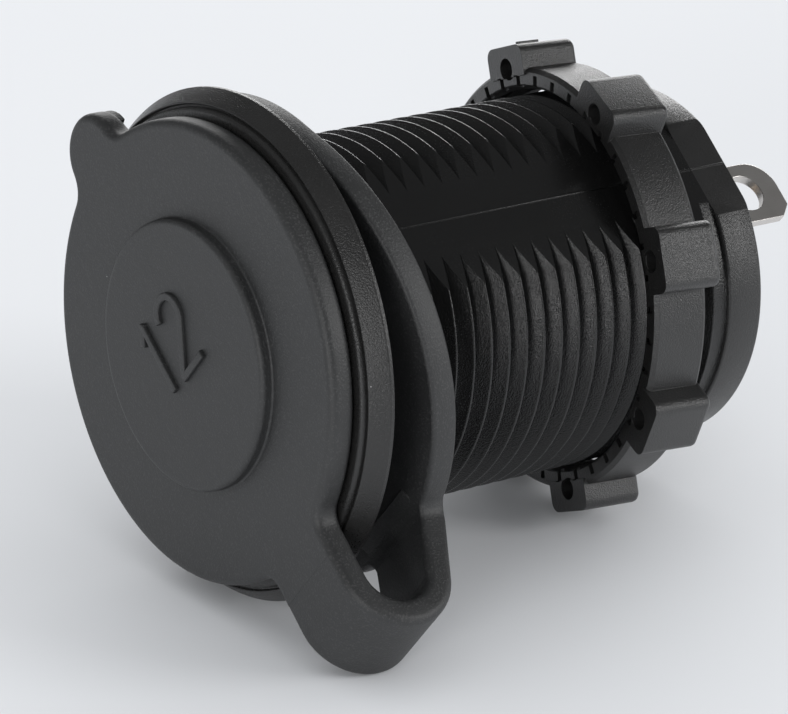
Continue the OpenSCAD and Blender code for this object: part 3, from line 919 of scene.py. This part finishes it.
def front_notch(bm, angle):
    """What cuts one notch into the nut's front face."""
    made = bar(bm, (-NOTCH_W / 2, -1, NUT_BORE_R - 1),
               (NOTCH_W / 2, NOTCH_DEPTH, NUT_BORE_R + NOTCH_REACH))
    swing(bm, made, angle)


def nut_wall():
    """The nut's ring, with low ridges in its bore that ride in the thread."""
    bore = [(NUT_BORE_R, NUT_LEN)]
    for turns, height in RIDGES.items():
        y = NUT_LEN / 2 + turns * THREAD_PITCH
        bore += [(NUT_BORE_R, y + RIDGE_HALF_W), (NUT_BORE_R - height, y),
                 (NUT_BORE_R, y - RIDGE_HALF_W)]
    return turned(bmesh.new(), bore
                  + [(NUT_BORE_R, BORE_CHAMFER), (NUT_BORE_R + BORE_CHAMFER, 0),
                     (NUT_R - NUT_EDGE, 0), (NUT_R, NUT_EDGE), (NUT_R, NUT_LEN - NUT_REAR_EDGE),
                     (NUT_R - NUT_REAR_EDGE, NUT_LEN)], NUT_STEPS)


def nut_shape():
    """The ring with its lugs, holes and notches, leaning on the thread as in the photograph."""
    lugs, holes, notches = bmesh.new(), bmesh.new(), bmesh.new()
    gate_flake(lugs)
    for k in range(LUG_COUNT):
        angle = LUG_START + TURN * k / LUG_COUNT
        grip_lug(lugs, angle)
        lug_hole(holes, angle)
    for k in range(NOTCHES):
        front_notch(notches, LUG_START + TURN * (k + 0.5) / NOTCHES)
    bm = carve(nut_wall(), [("UNION", lugs), ("DIFFERENCE", holes), ("DIFFERENCE", notches)])
    bmesh.ops.translate(bm, verts=bm.verts, vec=(0, -NUT_LEN / 2, 0))
    lean = Matrix.Rotation(-NUT_SIDE_LEAN, 4, "Z") @ Matrix.Rotation(-NUT_LEAN, 4, "X")
    bmesh.ops.transform(bm, verts=bm.verts, matrix=Matrix.Translation(NUT_MIDDLE) @ lean)
    return bm


def soften(made, width):
    """A live bevel on a piece's sharp edges, in millimetres."""
    rounding = made.modifiers.new("edges", "BEVEL")
    rounding.width = width * MM
    rounding.segments = 2
    rounding.limit_method = "ANGLE"
    rounding.angle_limit = math.radians(30)
    rounding.harden_normals = False


# Terminals


def terminal_shape(x, start, foot_low, foot_high):
    """A stamped tab with a round hole, one round and one bevelled corner, and its foot."""
    half, end = TERMINAL_HALF_W, TERMINAL_END
    tab = bmesh.new()
    outline = ([(start, -half), (end - CORNER_CUT, -half), (end, CORNER_CUT - half)]
               + arc((end - CORNER_ROUND, half - CORNER_ROUND), CORNER_ROUND, 0, 90, 10)
               + [(start, half)])
    face = tab.faces.new([tab.verts.new((x - TERMINAL_T / 2, y, z)) for y, z in outline])
    moved = bmesh.ops.extrude_face_region(tab, geom=[face])["geom"]
    bmesh.ops.translate(tab, verts=[g for g in moved if isinstance(g, bmesh.types.BMVert)],
                        vec=(TERMINAL_T, 0, 0))
    clean(tab)
    foot = bmesh.new()
    bar(foot, (foot_low, start, -half), (foot_high, start + TERMINAL_T, half))
    eyelet = bmesh.new()
    made = rod(eyelet, EYE_R, -2, 2, 40)
    bmesh.ops.rotate(eyelet, verts=made, cent=(0, 0, 0),
                     matrix=Matrix.Rotation(TURN / 4, 3, "Z"))
    bmesh.ops.translate(eyelet, verts=made, vec=(x, end - EYE_INSET, 0))
    return carve(tab, [("UNION", foot), ("DIFFERENCE", eyelet)])


# The pieces


def make_pieces():
    """Every piece with its finish, and the finishes of the solids that stay as they are."""
    piece(cap_shape(), "cap_moulding", "cap", RUBBER, ["cap"])
    piece(ring_shape(), "retaining_ring_moulding", "socket", RUBBER,
          ["retaining_ring"])
    bend, arm = split_strap()
    piece(arm, "strap_arm", "socket", RUBBER, sharp=40)
    strap = piece(bend, "strap_bend", None, RUBBER, sharp=40)
    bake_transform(strap)
    body = joined(barrel_shape(), flange_shape(), thread_shape(), parting_lines())
    piece(body, "threaded_body", "socket", BODY_NYLON, ["socket_body"])
    soften(piece(nut_shape(), "grip_nut", "nut", NUT_NYLON, ["ring_nut"]),
           NUT_SOFT)
    ground = terminal_shape(TERMINAL_X, SLEEVE_FLOOR, TERMINAL_X / 2, TERMINAL_X)
    soften(piece(ground, "ground_tab", "socket", TERMINAL_METAL,
                 ["ground_terminal"]), TERMINAL_SOFT)
    positive = terminal_shape(-TERMINAL_X, POCKET_FLOOR, -TERMINAL_X - TERMINAL_T / 2,
                              FOOT_END)
    soften(piece(positive, "positive_tab", "socket", TERMINAL_METAL,
                 ["positive_terminal"]), TERMINAL_SOFT)
    for node, finish in {"ground_sleeve": SLEEVE_METAL, "contact_insulator": BUSH_NYLON,
                         "centre_contact": RIVET_BRASS, "tail_washer": SLEEVE_METAL,
                         "ground_rivet": SLEEVE_METAL}.items():
        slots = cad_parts[node].data.materials
        for k in range(len(slots)):
            slots[k] = finish


# The stage and its light


def toward(azimuth, elevation):
    """A direction by degrees right of the camera and degrees above the floor."""
    ahead = -CAMERA_LOOK
    ahead = (ahead - FLOOR_UP * ahead.dot(FLOOR_UP)).normalized()
    side = FLOOR_UP.cross(ahead).normalized()
    turn, rise = math.radians(azimuth), math.radians(elevation)
    level = ahead * math.cos(turn) + side * math.sin(turn)
    return level * math.cos(rise) + FLOOR_UP.normalized() * math.sin(rise)


def make_floor():
    """A pale surface that hides nothing when it is seen from underneath."""
    finish = Finish(bpy.data.materials.new("pale_surface"))
    below = finish.node("ShaderNodeNewGeometry", output="Backfacing")
    paint = finish.node("ShaderNodeBsdfDiffuse", values={"Color": FLOOR_TONE})
    clear = finish.node("ShaderNodeBsdfTransparent")
    finish.ends_in(finish.node("ShaderNodeMixShader", values={0: below, 1: paint, 2: clear}))
    bm = bmesh.new()
    bmesh.ops.create_grid(bm, x_segments=1, y_segments=1, size=FLOOR_HALF)
    axes = aim_axes(-FLOOR_UP, CAMERA_AXES.col[1])
    bmesh.ops.transform(bm, verts=bm.verts, matrix=Matrix.Translation(
        FLOOR_UP * FLOOR_LEVEL * MM) @ axes.to_4x4())
    floor = loose_object(bm, "floor")
    floor.data.materials.append(finish.owner)


def lamp(name, azimuth, elevation, size, strength):
    """A soft rectangular lamp that faces the part, with strength as its brightness."""
    data = bpy.data.lights.new(name, "AREA")
    data.shape = "RECTANGLE"
    data.size, data.size_y = size
    data.energy = strength * math.pi * size[0] * size[1]
    made = bpy.data.objects.new(name, data)
    away = toward(azimuth, elevation)
    axes = aim_axes(-away, FLOOR_UP)
    made.matrix_world = Matrix.Translation(away * LAMP_DISTANCE) @ axes.to_4x4()
    bpy.context.scene.collection.objects.link(made)


def make_light():
    """An even room, darker in what the part mirrors, with soft windows low around it."""
    bpy.context.scene.world = bpy.data.worlds.new("studio")
    room = Finish(bpy.context.scene.world)

    def sky(strength):
        return room.node("ShaderNodeBackground",
                         values={"Color": ROOM_TINT, "Strength": strength})

    seen = sky(ROOM_LIGHT)
    for ray, strength in (("Is Glossy Ray", ROOM_MIRRORED), ("Is Camera Ray", BACKDROP),
                          ("Is Transmission Ray", BACKDROP)):
        chosen = room.node("ShaderNodeLightPath", output=ray)
        seen = room.node("ShaderNodeMixShader", values={0: chosen, 1: seen, 2: sky(strength)})
    room.ends_in(seen, "ShaderNodeOutputWorld")
    for name, values in LAMPS.items():
        lamp(name, *values)


make_camera()
make_pieces()
make_floor()
make_light()
bpy.context.scene.view_settings.view_transform = "Standard"
